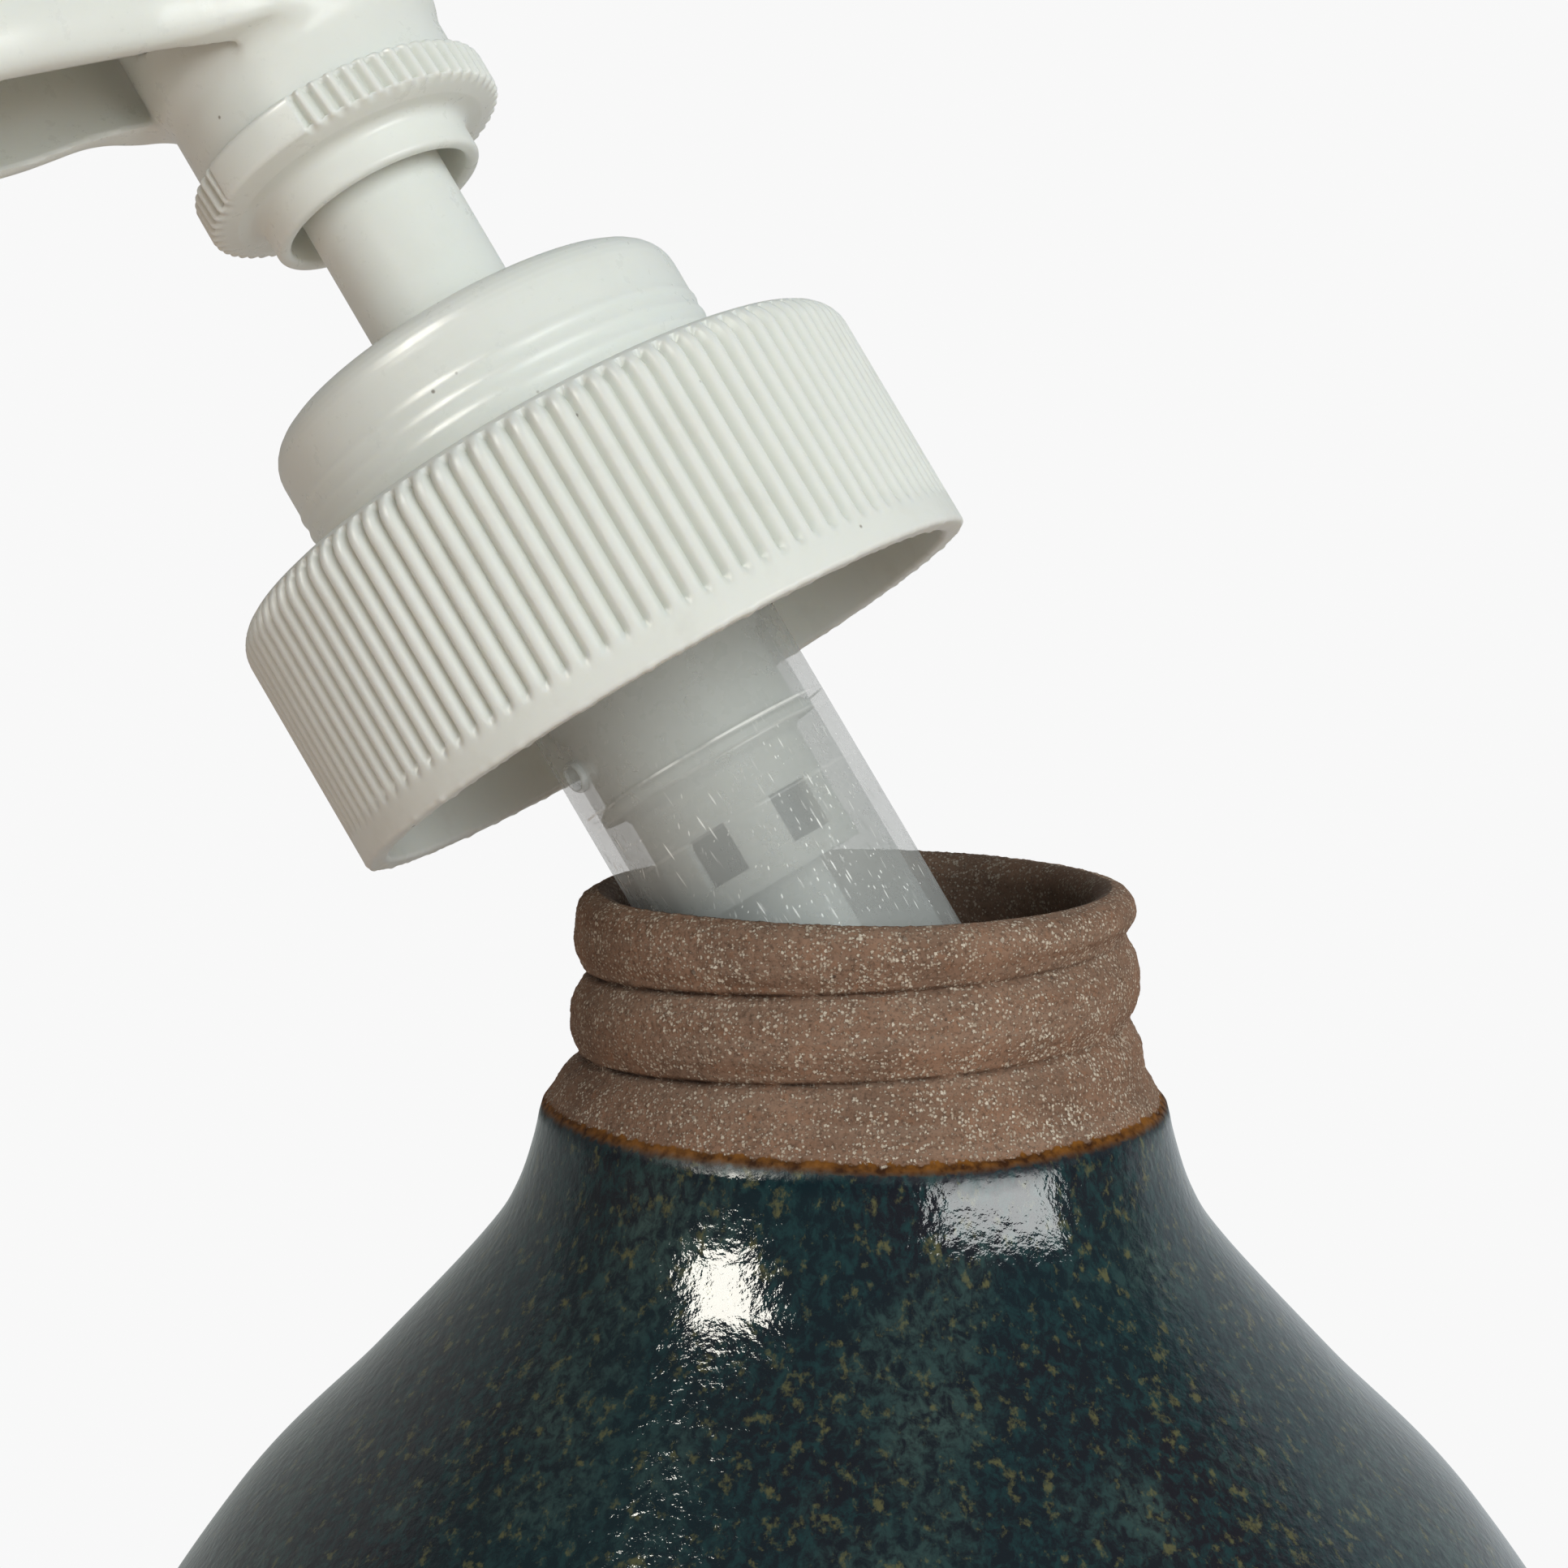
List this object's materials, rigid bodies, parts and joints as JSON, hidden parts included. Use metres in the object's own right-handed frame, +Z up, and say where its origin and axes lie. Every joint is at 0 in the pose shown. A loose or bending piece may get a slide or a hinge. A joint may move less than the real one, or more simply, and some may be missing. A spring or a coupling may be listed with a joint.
{
  "type": "soap pump dispenser",
  "caption": "Round glazed stoneware bottle with a threaded clay neck and a foaming finger pump drawn part way out, leaning on the rim.",
  "frame": {"origin": "middle of the bottle's flat foot", "axes": "+Z up the bottle's axis; +Y away from the viewer's side; the pump leans towards -X and its spout points to -X and -Y"},
  "size_m": [0.1261, 0.1118, 0.1943],
  "materials": {
    "glazed_stoneware": "dark blue-green mottled glaze, neck and foot left as bare grogged brown clay",
    "white_plastic": "white moulded polypropylene, satin, finely ribbed where it is gripped",
    "white_gloss_plastic": "white moulded polypropylene, polished",
    "frosted_plastic": "natural translucent polypropylene with fine scratches",
    "gasket_foam": "soft closed-cell sealing liner",
    "blue_elastomer": "dark slate-blue elastomer",
    "spring_steel": "drawn stainless wire",
    "nylon_mesh": "woven nylon screen"
  },
  "bodies": {
    "bottle": {"bottle_body": "glazed_stoneware"},
    "pump_body": {"pump_cylinder": "frosted_plastic", "collar": "white_gloss_plastic", "neck_gasket": "gasket_foam", "dip_tube": "frosted_plastic", "ball_retainer": "white_plastic"},
    "closure": {"screw_cap": "white_plastic"},
    "piston": {"piston_stem": "white_plastic", "air_piston": "frosted_plastic", "valve_cage": "frosted_plastic", "air_valve": "blue_elastomer", "liquid_piston": "white_plastic", "return_spring": "spring_steel", "mesh_holder": "white_plastic", "coarse_mesh": "nylon_mesh", "fine_mesh": "nylon_mesh"},
    "actuator": {"actuator_head": "white_gloss_plastic", "foam_conduit": "white_plastic"},
    "suction_check": {"suction_ball": "spring_steel"},
    "discharge_check": {"discharge_ball": "spring_steel"}
  },
  "joints": [
    {"name": "pump_lift", "type": "slide", "parent": "bottle", "child": "pump_body", "axis": [-0.5068, 0.1201, 0.8536], "range_m": [0, 0.0936]},
    {"name": "closure_spin", "type": "hinge", "parent": "pump_body", "child": "closure", "pos_m": [-0.01929, -0.00119, 0.14824], "axis": [-0.5068, 0.1201, 0.8536], "continuous": true},
    {"name": "head_press", "type": "slide", "parent": "pump_body", "child": "piston", "axis": [-0.5068, 0.1201, 0.8536], "range_m": [-0.0135, 0], "stiffness_N_per_m": 400, "springref_m": 0.008, "deforming": ["return_spring"]},
    {"name": "head_turn", "type": "hinge", "parent": "piston", "child": "actuator", "pos_m": [-0.03602, 0.00278, 0.17641], "axis": [-0.5068, 0.1201, 0.8536], "continuous": true},
    {"name": "suction_check_lift", "type": "slide", "parent": "pump_body", "child": "suction_check", "axis": [-0.5068, 0.1201, 0.8536], "range_m": [0, 0.0014]},
    {"name": "discharge_check_lift", "type": "slide", "parent": "piston", "child": "discharge_check", "axis": [-0.5068, 0.1201, 0.8536], "range_m": [0, 0.0014]}
  ]
}
